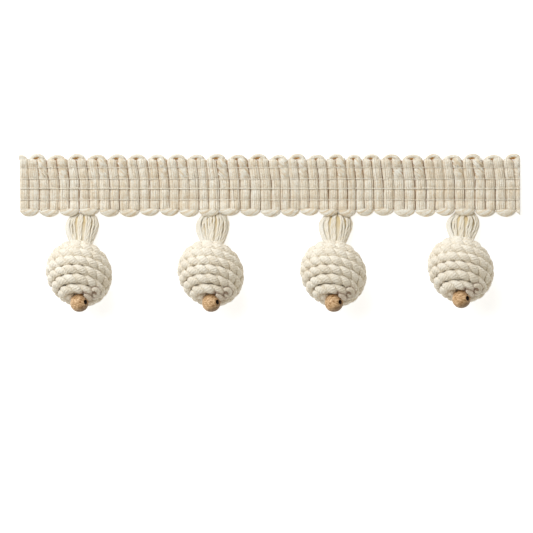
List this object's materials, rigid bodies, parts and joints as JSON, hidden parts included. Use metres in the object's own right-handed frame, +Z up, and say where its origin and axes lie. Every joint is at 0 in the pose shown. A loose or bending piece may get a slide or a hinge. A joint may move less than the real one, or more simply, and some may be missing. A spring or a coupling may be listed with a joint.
{
  "type": "pompom fringe trim",
  "caption": "Looped cotton gimp braid with rope-wound balls hung from it on yarn necks, each ending in a small wooden bead, for edging curtains, cushions or shades.",
  "frame": {"origin": "bottom centre of the whole piece, on the surface that it lies on", "axes": "+X along the heading, +Y from the balls to the heading's top edge, +Z up, out of the face of the braid"},
  "size_m": [0.2258, 0.0706, 0.0287],
  "materials": {
    "braid_cotton": "soft unbleached cotton gimp cord, matte, slightly fuzzy",
    "binding_thread": "fine twisted cotton thread, matte",
    "neck_yarn": "thin soft cotton yarn, matte",
    "rope_cotton": "two-strand twisted cotton rope, matte",
    "bead_wood": "turned light hardwood, waxed, satin"
  },
  "bodies": {
    "root": {"braid_weft": "braid_cotton", "binding_thread_1": "binding_thread", "binding_thread_2": "binding_thread", "binding_thread_3": "binding_thread", "binding_thread_4": "binding_thread", "neck_1": "neck_yarn", "neck_2": "neck_yarn", "neck_3": "neck_yarn", "neck_4": "neck_yarn", "ball_1": "rope_cotton", "ball_2": "rope_cotton", "ball_3": "rope_cotton", "ball_4": "rope_cotton", "bead_1": "bead_wood", "bead_2": "bead_wood", "bead_3": "bead_wood", "bead_4": "bead_wood"}
  },
  "joints": []
}
